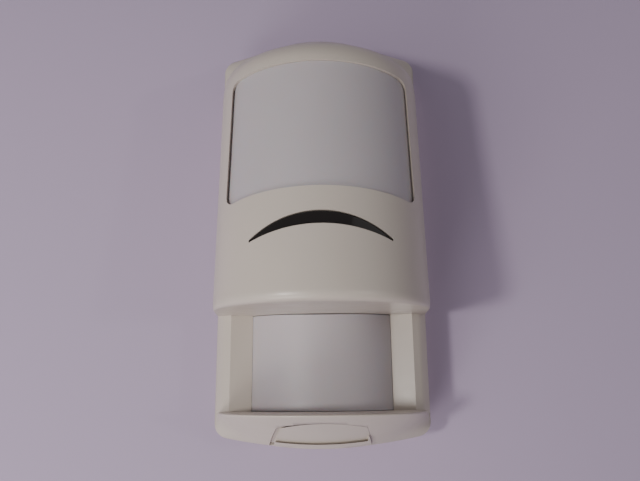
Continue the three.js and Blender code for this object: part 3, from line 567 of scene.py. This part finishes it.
# ------------------------------------------------------------ rear base
def base_outline(inset):
    side, top, bottom = BASE_HALF_WIDTH - inset, HALF_HEIGHT - inset, -HALF_HEIGHT + inset
    radius = CORNER_RADIUS - inset / 2
    corner, shoulder = bottom + BOTTOM_BOW, top - TOP_BOW
    points = [(-side + radius, corner)]
    for control, end, steps in (
            ((0, bottom - BOTTOM_BOW), (side - radius, corner), 32),
            ((side, corner + 0.6), (side, corner + radius), 8),
            (None, (side, shoulder - radius), 1),
            ((side, shoulder - 0.6), (side - radius, shoulder), 8),
            ((0, top + TOP_BOW), (-side + radius, shoulder), 32),
            ((-side, shoulder - 0.6), (-side, shoulder - radius), 8),
            (None, (-side, corner + radius), 1),
            ((-side, corner + 0.6), (-side + radius, corner), 8)):
        points += quadratic(points[-1], control, end, steps) if control else [end]
    return points[:-1]


def tray(half_at_plate, plate_depth, rim_depth, bottom, top):
    """A space that widens by 45 degrees from the plate to the rim."""
    half = half_at_plate + rim_depth - plate_depth
    outline = [(-half, rim_depth), (-half_at_plate, plate_depth),
               (half_at_plate, plate_depth), (half, rim_depth)]
    return column(outline, bottom, top)


def entry_outline(inset):
    half, rise = ENTRY_HALF_WIDTH - inset, ENTRY_RISE - inset
    return rounded(-half, half, ENTRY_Z - rise, ENTRY_Z + rise, rise - 0.1)


def hinge_rib(x):
    return block(x - 5, x + 5, 7.5, 9.5, 65.9, 67.4)


def rear_base():
    outside = common(tray(WALL_FACE_HALF_WIDTH, 0, BASE_DEPTH, -HALF_HEIGHT - 2, HALF_HEIGHT),
                     slab(base_outline(0), 0, BASE_DEPTH))
    inside = common(tray(WALL_FACE_HALF_WIDTH - 1, PLATE, BASE_DEPTH + 2, -HALF_HEIGHT, HALF_HEIGHT),
                    slab(base_outline(PLATE), PLATE, BASE_DEPTH + 2))
    posts = [slab(circle(x, z, POST_RADIUS), PLATE - 0.5, BOARD_REAR - GAP) for x, z in POSTS]
    pilots = [slab(circle(x, z, PILOT_RADIUS, 32), 4, BOARD_REAR + 1) for x, z in POSTS]
    wall_screws = [slab(circle(0, z, WALL_SCREW_RADIUS, 40), -1, PLATE + 1) for z in WALL_SCREWS_Z]
    body = join(cut(outside, inside), *posts, hinge_rib(-HINGE_X), hinge_rib(HINGE_X), block(*CATCH))
    return cut(body, *pilots, *wall_screws, slab(entry_outline(0), -1, PLATE + 1))


def cable_grommet():
    sleeve = slab(entry_outline(GAP), 0.4, PLATE + 1.4)
    flange = slab(entry_outline(-2), PLATE + GAP, PLATE + 1.6)
    return cut(join(sleeve, flange), slab(entry_outline(2), -1, 8))


# ------------------------------------------------------------ circuit board and its parts
def quarter(radius, rise, steps=9):
    """The rounded shoulder of a turned part, as (radius, rise) points from its side to its top."""
    angles = [math.pi / 2 * i / steps for i in range(steps + 1)]
    return [(radius * math.cos(a), rise * math.sin(a)) for a in angles]


def main_board():
    sheet = slab(rounded(-26, 26, -60, 58, 2), BOARD_REAR, BOARD_FRONT)
    holes = [slab(circle(x, z, PILOT_RADIUS, 32), BOARD_REAR - 1, BOARD_FRONT + 1) for x, z in POSTS]
    return cut(sheet, *holes)


def board_screw(x, z):
    """A pan-head screw with a cross recess."""
    head_radius, flat, crown = 2.9, 0.9, 1.1
    shank_radius, arm, half_slot, recess = 1.35, 1.7, 0.32, SEAT + 0.8
    dome = [(r, SEAT + flat + rise) for r, rise in quarter(head_radius, crown)]
    screw = turned(x, z, [(0, SEAT), (head_radius, SEAT)] + dome, 48)
    screw = join(screw, slab(circle(x, z, shank_radius, 32), 6, SEAT + 0.5))
    return cut(screw, block(x - arm, x + arm, recess, SEAT + 3, z - half_slot, z + half_slot),
               block(x - half_slot, x + half_slot, recess, SEAT + 3, z - arm, z + arm))


def pyro_sensor(z, seat):
    """A flanged can with a rounded shoulder and a sunk window."""
    height, radius, shoulder, flange_radius, flange = 4.1, 4.1, 0.4, 4.6, 0.5
    top = seat + height
    profile = [(0, seat), (flange_radius, seat), (flange_radius, seat + flange)]
    profile += [(radius, seat + flange + 0.1)]
    profile += [(radius - shoulder + r, top - shoulder + rise) for r, rise in quarter(shoulder, shoulder, 6)]
    window = slab(rounded(-1.9, 1.9, z - 1.3, z + 1.3, 0.3), top - 0.3, top + 1)
    return cut(turned(0, z, profile + [(0, top)], 72), window)


def sensor_stand(z):
    """A hollow tower on a foot, with grooves down two of its sides."""
    foot, tower, bore, half_groove, depth = 9, 6.5, 3.4, 0.5, 0.4
    body = join(slab(rounded(-foot, foot, z - foot, z + foot, 2), SEAT, SEAT + 2),
                slab(rounded(-tower, tower, z - tower, z + tower, 2), SEAT + 1, SEAT + STAND_HEIGHT))
    grooves = [block(x - half_groove, x + half_groove, SEAT + 3, SEAT + 9, side - depth, side + depth)
               for x in (-3.5, 0, 3.5) for side in (z - tower, z + tower)]
    return cut(body, slab(circle(0, z, bore), SEAT - 1, SEAT + 10), *grooves)


def terminal_x(index):
    return (index - (TERMINALS - 1) / 2) * TERMINAL_PITCH


def terminal_block():
    """A stepped housing with a screw well and a wire mouth for each terminal, and seams between them."""
    outline = [(SEAT, 46), (SEAT + 7, 46), (SEAT + 10, 49), (SEAT + 10, 53.5), (SEAT + 8.5, 55), (SEAT, 55)]
    half_width, well_radius, half_mouth, half_seam = 20, 1.9, 1.8, 0.12
    body = rib(outline, -half_width, half_width)
    for x in map(terminal_x, range(TERMINALS)):
        body = cut(body, slab(circle(x, TERMINAL_Z, well_radius, 32), SEAT + 4, SEAT + 11),
                   block(x - half_mouth, x + half_mouth, SEAT + 0.8, SEAT + 3.6, 48, 56))
    seams = [terminal_x(index) + TERMINAL_PITCH / 2 for index in range(TERMINALS - 1)]
    return cut(body, *(block(x - half_seam, x + half_seam, SEAT + 9.7, SEAT + 11, 45, 56) for x in seams))


def terminal_screw(index):
    x, z, bottom, top = terminal_x(index), TERMINAL_Z, SEAT + 4.3, SEAT + 9
    radius, chamfer, half_slot = 1.6, 0.25, 0.28
    profile = [(0, bottom), (radius, bottom), (radius, top - chamfer), (radius - chamfer, top), (0, top)]
    slot = block(x - 2, x + 2, top - 0.8, top + 1, z - half_slot, z + half_slot)
    return cut(turned(x, z, profile, 40), slot)


def relay():
    """A sealed box with a vent dimple in one corner."""
    case = slab(rounded(12, 22.5, -13, 2.5, 0.8), SEAT, SEAT + 8)
    return cut(case, slab(circle(13.6, 1.0, 0.5, 24), SEAT + 7.6, SEAT + 9))


def chip():
    """A square package with gull-wing pins on two sides and a first-pin mark."""
    pins_per_side, pitch, half_pin, first_z = 9, 1.0, 0.2, -23.5
    body = slab(rounded(-5, 5, -24.5, -14.5, 0.3), SEAT, SEAT + 1.5)
    body = cut(body, slab(circle(-3.6, -15.9, 0.6, 24), SEAT + 1.2, SEAT + 3))
    pin = [(4.9, 0.6), (5.5, 0.6), (5.8, 0.05), (6.5, 0.05), (6.5, 0.2), (5.9, 0.2), (5.6, 0.78), (4.9, 0.78)]
    pins = []
    for z in (first_z + pitch * i for i in range(pins_per_side)):
        pins += [column([(side * x, SEAT + rise) for x, rise in pin], z - half_pin, z + half_pin)
                 for side in (-1, 1)]
    return join(body, *pins)


def capacitor(x, z, radius, height):
    """A sleeve with a crimped waist and a cross of vent lines in its top."""
    top, steps, half_line, reach = SEAT + height, 8, 0.15, radius * 0.62
    crimp_depth, crimp_start, crimp_width, shoulder = 0.35, SEAT + 1.4, 0.8, 0.5
    crimp = [(radius - crimp_depth * math.sin(math.pi * i / steps), crimp_start + crimp_width * i / steps)
             for i in range(steps + 1)]
    rounded_top = [(radius, top - shoulder), (radius - 0.15, top - 0.15), (radius - shoulder, top), (0, top)]
    body = turned(x, z, [(0, SEAT), (radius, SEAT)] + crimp + rounded_top, 64)
    return cut(body, block(x - reach, x + reach, top - 0.12, top + 1, z - half_line, z + half_line),
               block(x - half_line, x + half_line, top - 0.12, top + 1, z - reach, z + reach))


def tamper_body():
    x, z, half = TAMPER_X, TAMPER_Z, 3
    case = slab(rounded(x - half, x + half, z - half, z + half, 0.6), SEAT, SEAT + 4)
    return cut(case, slab(circle(x, z, 1.75, 40), SEAT + 1, SEAT + 5))


def tamper_plunger():
    radius, top = 1.45, TAMPER_TIP
    tip = [(radius, top - 0.5), (1.33, top - 0.2), (1.0, top), (0, top)]
    return turned(TAMPER_X, TAMPER_Z, [(0, SEAT + 2.8), (radius, SEAT + 2.8)] + tip, 40)


def dip_x(index):
    return (DIP_LEFT + DIP_RIGHT) / 2 + (index - (DIP_SWITCHES - 1) / 2) * DIP_PITCH


def dip_body():
    body = slab(rounded(DIP_LEFT, DIP_RIGHT, -23.6, -17, 0.3), SEAT, SEAT + 3)
    half_slot = 0.85
    slots = [block(x - half_slot, x + half_slot, SEAT + 1, SEAT + 4, -22.4, -18.2)
             for x in map(dip_x, range(DIP_SWITCHES))]
    return cut(body, *slots)


def dip_slider(index):
    x, half_width = dip_x(index), 0.55
    return block(x - half_width, x + half_width, SEAT + 1.3, SEAT + 3.7, -22.1, -20.5)


def trimmer_body():
    x, z, half = TRIMMER_X, TRIMMER_Z, 4
    case = slab(rounded(x - half, x + half, z - half, z + half, 0.6), SEAT, SEAT + 3.6)
    return cut(case, slab(circle(x, z, 3.0), SEAT + 1.6, SEAT + 5))


def trimmer_rotor():
    """A disc with a T-shaped slot."""
    x, z, top, arm, half_slot = TRIMMER_X, TRIMMER_Z, SEAT + 3.9, 2, 0.4
    disc = slab(circle(x, z, 2.7), top - 2, top)
    return cut(disc, block(x - arm, x + arm, top - 0.8, top + 1, z - half_slot, z + half_slot),
               block(x - half_slot, x + half_slot, top - 0.8, top + 1, z, z + arm))


def led(x):
    radius, collar, collar_height, top = 1.5, 1.9, 0.8, SEAT + 5.6
    base = [(0, SEAT), (collar, SEAT), (collar, SEAT + collar_height), (radius, SEAT + collar_height)]
    dome = [(r, top - radius + rise) for r, rise in quarter(radius, radius)]
    return turned(x, LED_Z, base + dome, 48)


# Chip resistors, as rows of a height and the places along it
RESISTOR_ROWS = [(40, range(-12, 13, 4)), (6.5, range(-8, 9, 4)), (1, range(-10, 7, 4)),
                 (-29, range(-10, 11, 4)), (-35, range(-12, -3, 4)), (-35, range(6, 13, 3))]
RESISTORS = [(x, z) for z, row in RESISTOR_ROWS for x in row]
RESISTOR_HALF_HEIGHT = 0.6


def many(name, solids):
    """One mesh of several separate solids."""
    whole = solids[0]
    with bpy.context.temp_override(active_object=whole, object=whole, selected_editable_objects=solids):
        bpy.ops.object.join()
    whole.name = name
    return whole


def resistor_bodies():
    half_width, half, rear, front = 0.62, RESISTOR_HALF_HEIGHT, BOARD_FRONT + 0.02, BOARD_FRONT + 0.55
    return many("resistor_bodies", [block(x - half_width, x + half_width, rear, front, z - half, z + half)
                                    for x, z in RESISTORS])


def resistor_ends():
    """The plated end caps and the solder that rises against them."""
    cap = [(0.64, 0.01), (1.45, 0.01), (1.12, 0.3), (1.0, 0.58), (0.64, 0.58)]
    ends = [column([(x + side * u, BOARD_FRONT + rise) for u, rise in cap],
                   z - RESISTOR_HALF_HEIGHT, z + RESISTOR_HALF_HEIGHT)
            for x, z in RESISTORS for side in (-1, 1)]
    return many("resistor_ends", ends)


def solder_joints():
    """Steep domes on the pins of the terminals and of the lower sensor."""
    radius, height = 0.95, 0.55
    dome = [(r, BOARD_FRONT + 0.02 + height * rise ** 1.5) for r, rise in quarter(radius, 1)]
    spots = [(terminal_x(index), 44) for index in range(TERMINALS)] + [(x, -37.5) for x in (-2.5, 0, 2.5)]
    return many("solder_joints", [turned(x, z, dome, 24) for x, z in spots])


# ------------------------------------------------------------ materials
def shader(name, color, roughness, metallic=0.0, **sockets):
    material = bpy.data.materials.new(name)
    material.use_nodes = True
    bsdf = material.node_tree.nodes["Principled BSDF"]
    bsdf.inputs["Base Color"].default_value = (*color, 1)
    bsdf.inputs["Roughness"].default_value = roughness
    bsdf.inputs["Metallic"].default_value = metallic
    for socket, value in sockets.items():
        bsdf.inputs[socket.replace("_", " ")].default_value = value
    return material


CLOUDS_PER_M, CLOUD_DETAIL, BUMP_M, ROUGHNESS_SPREAD, PATCH_SHARE = 35, 4, 0.00002, 0.05, 0.08


def grained(material, color, spread, roughness, grain_per_m, bump):
    """Colour, roughness and height that vary over the surface, each at its own scale."""
    nodes, links = material.node_tree.nodes, material.node_tree.links
    bsdf = nodes["Principled BSDF"]
    place = nodes.new("ShaderNodeTexCoord")

    def noise(scale, detail):
        node = nodes.new("ShaderNodeTexNoise")
        node.inputs["Scale"].default_value = scale
        node.inputs["Detail"].default_value = detail
        links.new(place.outputs["Object"], node.inputs["Vector"])
        return node.outputs["Fac"]

    def ramp(source, low, high):
        node = nodes.new("ShaderNodeMapRange")
        node.inputs["From Min"].default_value = 0.3
        node.inputs["From Max"].default_value = 0.7
        node.inputs["To Min"].default_value = low
        node.inputs["To Max"].default_value = high
        links.new(source, node.inputs["Value"])
        return node.outputs["Result"]

    mix = nodes.new("ShaderNodeMix")
    mix.data_type = "RGBA"
    mix.inputs["A"].default_value = (*(c * (1 - spread) for c in color), 1)
    mix.inputs["B"].default_value = (*(min(1, c * (1 + spread)) for c in color), 1)
    links.new(ramp(noise(CLOUDS_PER_M, CLOUD_DETAIL), 0, 1), mix.inputs["Factor"])
    links.new(mix.outputs["Result"], bsdf.inputs["Base Color"])
    low, high = roughness - ROUGHNESS_SPREAD, roughness + ROUGHNESS_SPREAD
    links.new(ramp(noise(grain_per_m * PATCH_SHARE, 3), low, high), bsdf.inputs["Roughness"])
    height = nodes.new("ShaderNodeBump")
    height.inputs["Strength"].default_value = bump
    height.inputs["Distance"].default_value = BUMP_M
    links.new(noise(grain_per_m, 2), height.inputs["Height"])
    links.new(height.outputs["Normal"], bsdf.inputs["Normal"])
    return material


def tracked(material, color):
    """Adds the pattern of copper tracks under the solder mask, in bricks of 9 by 1.7 mm."""
    nodes, links = material.node_tree.nodes, material.node_tree.links
    place = nodes.new("ShaderNodeTexCoord")
    turn = nodes.new("ShaderNodeMapping")
    turn.inputs["Rotation"].default_value = (math.radians(90), 0, 0)
    links.new(place.outputs["Object"], turn.inputs["Vector"])
    tracks = nodes.new("ShaderNodeTexBrick")
    for socket, value in (("Scale", 100), ("Mortar Size", 0.018), ("Brick Width", 0.9), ("Row Height", 0.17)):
        tracks.inputs[socket].default_value = value
    for socket, share in (("Color1", 1), ("Color2", 0.8), ("Mortar", 1.9)):
        tracks.inputs[socket].default_value = (*(c * share for c in color), 1)
    links.new(turn.outputs["Vector"], tracks.inputs["Vector"])
    links.new(tracks.outputs["Color"], nodes["Principled BSDF"].inputs["Base Color"])


IVORY = (0.555, 0.495, 0.435)
SOLDER_MASK = (0.015, 0.11, 0.045)


def make_materials():
    made = {}

    def plastic(slot, color, roughness, spread=0.02, grain=2600, bump=0.5, **sockets):
        material = shader(slot, color, roughness, **sockets)
        made[slot] = grained(material, color, spread, roughness, grain, bump)

    plastic("cover_plastic", IVORY, 0.33)
    plastic("lens_plastic", (0.475, 0.435, 0.455), 0.5, 0.015, 1800, 0.35, Subsurface_Weight=0.15,
            Subsurface_Scale=0.002)
    plastic("inner_plastic", (0.68, 0.66, 0.60), 0.6)
    plastic("smoked_window", (0.012, 0.009, 0.008), 0.1, 0.2, 900, 0.05)
    plastic("clear_plastic", (0.78, 0.82, 0.80), 0.08, 0.01, 900, 0.05, Transmission_Weight=0.85)
    plastic("circuit_board", SOLDER_MASK, 0.42, 0.12, 1200, 0.4)
    plastic("plated_steel", (0.62, 0.62, 0.60), 0.3, 0.05, 3000, 0.5, metallic=1.0)
    plastic("sensor_can", (0.70, 0.68, 0.62), 0.25, 0.04, 2500, 0.4, metallic=1.0)
    plastic("black_plastic", (0.014, 0.014, 0.015), 0.5, 0.2)
    plastic("capacitor_sleeve", (0.016, 0.018, 0.026), 0.3, 0.2, 1500, 0.3)
    plastic("green_plastic", (0.03, 0.24, 0.10), 0.5, 0.06)
    plastic("blue_plastic", (0.015, 0.08, 0.36), 0.4, 0.06)
    plastic("white_plastic", (0.82, 0.81, 0.78), 0.45)
    plastic("grommet_rubber", (0.03, 0.03, 0.033), 0.8, 0.2, 1200, 0.8)
    plastic("red_led", (0.36, 0.010, 0.008), 0.2, 0.05, 900, 0.1)
    plastic("green_led", (0.012, 0.22, 0.03), 0.2, 0.05, 900, 0.1)
    plastic("amber_led", (0.56, 0.22, 0.010), 0.2, 0.05, 900, 0.1)
    tracked(made["circuit_board"], SOLDER_MASK)
    return made


def dress():
    for part in frame["record"]["subparts"]:
        obj = bpy.data.objects.get(part["node"])
        obj.data.materials.clear()
        obj.data.materials.append(materials[part["material_slot"]])


# ------------------------------------------------------------ stage, in metres
FLOOR_Z = -0.9
LAMP_WHITE = (1.0, 0.97, 0.95)
KEY_WHITE = (1.0, 0.97, 0.94)


def make_wall():
    """A pale wall just behind the sensor, open where the sensor covers it, and seen from its front only."""
    reach, y = 1.5, 0.0006
    half_x, half_z = 0.034, 0.066
    xs = [-reach, -half_x, half_x, reach]
    zs = [FLOOR_Z, -half_z, half_z, reach]
    verts = [(x, y, z) for z in zs for x in xs]
    faces = [(r * 4 + c, r * 4 + c + 1, r * 4 + c + 5, r * 4 + c + 4)
             for r in range(3) for c in range(3) if (r, c) != (1, 1)]
    mesh = bpy.data.meshes.new("wall")
    mesh.from_pydata(verts, [], faces)
    wall = new_object("wall", mesh)
    material = shader("wall_paint", (0.455, 0.37, 0.51), 0.9)
    nodes, links = material.node_tree.nodes, material.node_tree.links
    geometry = nodes.new("ShaderNodeNewGeometry")
    clear = nodes.new("ShaderNodeBsdfTransparent")
    mix = nodes.new("ShaderNodeMixShader")
    links.new(geometry.outputs["Backfacing"], mix.inputs["Fac"])
    links.new(nodes["Principled BSDF"].outputs["BSDF"], mix.inputs[1])
    links.new(clear.outputs["BSDF"], mix.inputs[2])
    links.new(mix.outputs["Shader"], nodes["Material Output"].inputs["Surface"])
    mesh.materials.append(material)


def make_floor():
    mesh = bpy.data.meshes.new("floor")
    corners = [(-3, -4), (3, -4), (3, 3), (-3, 3)]
    mesh.from_pydata([(x, y, FLOOR_Z) for x, y in corners], [], [(0, 1, 2, 3)])
    floor = new_object("floor", mesh)
    mesh.materials.append(shader("floor_paint", (0.55, 0.53, 0.55), 0.9))


def area_light(name, place, target, size, watts, color):
    light = bpy.data.lights.new(name, "AREA")
    light.shape = "DISK"
    light.size = size
    light.energy = watts
    light.color = color
    holder = bpy.data.objects.new(name, light)
    bpy.context.collection.objects.link(holder)
    holder.location = place
    holder.rotation_euler = (Vector(target) - Vector(place)).to_track_quat("-Z", "Y").to_euler()


def make_lights():
    world = bpy.data.worlds.new("world")
    world.use_nodes = True
    background = world.node_tree.nodes["Background"]
    background.inputs["Color"].default_value = (0.86, 0.85, 0.90, 1)
    background.inputs["Strength"].default_value = 0.265
    bpy.context.scene.world = world
    area_light("key", (-0.27, -0.42, -0.10), (-0.02, 0, 0), 0.06, 0.96, KEY_WHITE)
    area_light("soft", (-0.50, -0.55, -0.35), (0, 0, 0), 0.8, 1.9, LAMP_WHITE)
    area_light("low", (-0.20, -0.24, -0.37), (-0.05, 0, -0.06), 0.2, 0.75, LAMP_WHITE)
    area_light("fill", (0.36, -0.42, -0.05), (0, 0, 0), 0.022, 0.15, KEY_WHITE)
    area_light("right", (0.6, -0.5, 0.1), (0, 0, 0), 0.7, 0.36, LAMP_WHITE)
    area_light("back", (0.3, 1.2, 0.9), (0, 0, -0.2), 1.2, 26, (1, 1, 1))


# ------------------------------------------------------------ the scene
make_camera()
materials = make_materials()
dress()

fitted(front_cover(), "front_cover", "cover", "cover_plastic", 0.28)
fitted(upper_lens(), "upper_lens", "cover", "lens_plastic", 0.1)
fitted(upper_lens_frame(), "upper_lens_frame", "cover", "inner_plastic", 0.3)
fitted(lower_lens(), "lower_lens", "cover", "lens_plastic", 0.2)
fitted(lower_lens_frame(), "lower_lens_frame", "cover", "inner_plastic", 0.25)
fitted(indicator_window(), "indicator_window", "cover", "smoked_window", 0.15)
fitted(light_guide(), "light_guide", "cover", "clear_plastic", 0.2)
fitted(locking_latch(), "locking_latch", "latch", "cover_plastic")
fitted(latch_keeper(), "latch_keeper", "cover", "inner_plastic", 0.25)
fitted(rear_base(), "rear_base", "base", "cover_plastic", 0.35)
fitted(cable_grommet(), "cable_grommet", "base", "grommet_rubber", 0.25)
fitted(main_board(), "main_board", "base", "circuit_board")
fitted(board_screw(*POSTS[0]), "board_screw_left", "base", "plated_steel", 0.08)
fitted(board_screw(*POSTS[1]), "board_screw_right", "base", "plated_steel", 0.08)
upper_seat = SEAT + STAND_HEIGHT + GAP
fitted(pyro_sensor(UPPER_SENSOR_Z, upper_seat), "upper_pyro_sensor", "base", "sensor_can", 0.08)
fitted(pyro_sensor(LOWER_SENSOR_Z, SEAT), "lower_pyro_sensor", "base", "sensor_can", 0.08)
fitted(sensor_stand(UPPER_SENSOR_Z), "sensor_stand", "base", "black_plastic", 0.25)
fitted(terminal_block(), "terminal_block", "base", "green_plastic")
for index in range(TERMINALS):
    fitted(terminal_screw(index), f"terminal_screw_{index + 1}", "base", "plated_steel", 0.06)
fitted(relay(), "alarm_relay", "base", "black_plastic", 0.3)
fitted(chip(), "processor_chip", "base", "black_plastic", 0.05)
fitted(capacitor(20, 16, 4, 9), "supply_capacitor", "base", "capacitor_sleeve", 0.05)
fitted(capacitor(-20, 12, 3.1, 6.5), "filter_capacitor", "base", "capacitor_sleeve", 0.05)
fitted(tamper_body(), "tamper_switch_body", "base", "black_plastic", 0.2)
fitted(tamper_plunger(), "tamper_plunger", "tamper_button", "white_plastic", 0.1)
fitted(dip_body(), "dip_switch_body", "base", "blue_plastic")
for index in range(DIP_SWITCHES):
    fitted(dip_slider(index), f"dip_slider_{index + 1}", f"dip_{index + 1}", "white_plastic", 0.15)
fitted(trimmer_body(), "range_trimmer_body", "base", "blue_plastic", 0.2)
fitted(trimmer_rotor(), "range_trimmer_rotor", "range_trimmer", "white_plastic", 0.1)
for name, x in (("red", -LED_PITCH), ("green", 0), ("amber", LED_PITCH)):
    fitted(led(x), f"indicator_led_{name}", "base", f"{name}_led", 0.1)
added(resistor_bodies(), "base", "black_plastic", 0.05)
added(resistor_ends(), "base", "plated_steel", 0.04)
added(solder_joints(), "base", "plated_steel", 0.03)

make_wall()
make_floor()
make_lights()
